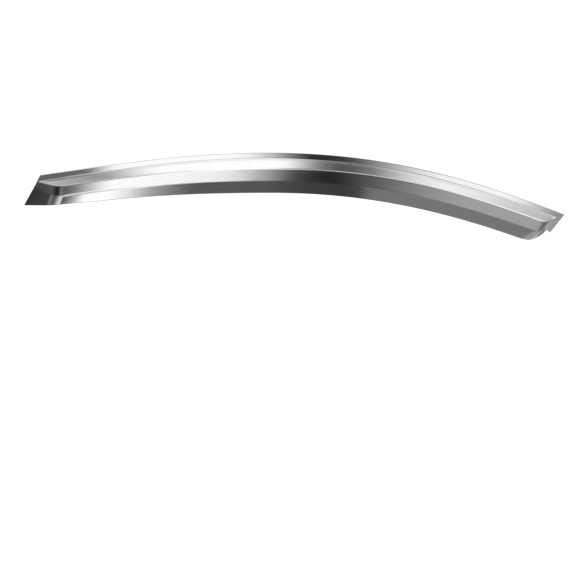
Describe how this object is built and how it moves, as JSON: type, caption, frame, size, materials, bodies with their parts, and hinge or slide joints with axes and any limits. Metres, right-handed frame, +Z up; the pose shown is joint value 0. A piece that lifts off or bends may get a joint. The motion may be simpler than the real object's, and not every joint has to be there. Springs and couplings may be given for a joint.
{
  "type": "window rain deflector",
  "caption": "Arched car door window rain deflector: a chrome finished channel visor moulded with a flat taped flange, slanted at one end and with a tab at the other.",
  "frame": {"origin": "middle of the flange tape's door face, at mid length", "axes": "+X along the deflector to the tab end, +Y into the door, -Y outwards, +Z up as fitted"},
  "size_m": [1.0213, 0.0515, 0.1454],
  "materials": {
    "bright_chrome": "bright chrome plating on a smooth plastic moulding",
    "foam_tape": "matt dark grey acrylic foam tape"
  },
  "bodies": {
    "root": {"visor_shell": "bright_chrome", "flange_tape": "foam_tape", "tab_tape": "foam_tape"}
  },
  "joints": []
}
